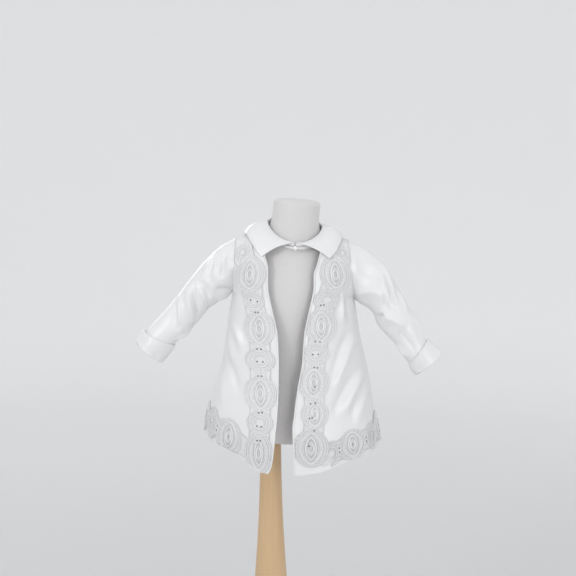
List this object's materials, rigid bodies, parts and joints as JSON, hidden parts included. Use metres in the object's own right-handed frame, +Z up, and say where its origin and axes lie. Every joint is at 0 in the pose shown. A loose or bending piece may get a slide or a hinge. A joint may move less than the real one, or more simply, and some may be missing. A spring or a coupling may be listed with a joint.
{
  "type": "christening coat on a limbless dress form with a wooden stand",
  "caption": "Open-fronted child's christening coat in satin with scalloped medallion lace, a flat round collar and turned-back cuffs, worn by a limbless form on a turned stand.",
  "frame": {"origin": "centre of the underside of the stand's base", "axes": "+Z up, the coat's front faces -Y, the wearer's left is at +X"},
  "size_m": [0.504, 0.25, 0.8421],
  "materials": {
    "white_satin": "cool white polyester or silk satin with a soft sheen",
    "silver_white_lace": "matte silvery white corded medallion lace",
    "pearl": "pearly white button",
    "form_linen": "plain pale warm grey cover",
    "birch": "clear-varnished pale wood, grain along the post"
  },
  "bodies": {
    "root": {"coat_front_right": "white_satin", "coat_front_left": "white_satin", "coat_back": "white_satin", "sleeve_right": "white_satin", "sleeve_left": "white_satin", "cuff_right": "white_satin", "cuff_left": "white_satin", "collar": "white_satin", "neck_band": "white_satin", "neck_button": "pearl", "lace_front_right": "silver_white_lace", "lace_front_left": "silver_white_lace", "lace_hem_right": "silver_white_lace", "lace_hem_left": "silver_white_lace", "lace_hem_back": "silver_white_lace", "form_body": "form_linen", "stand_post": "birch", "stand_base": "birch"}
  },
  "joints": []
}
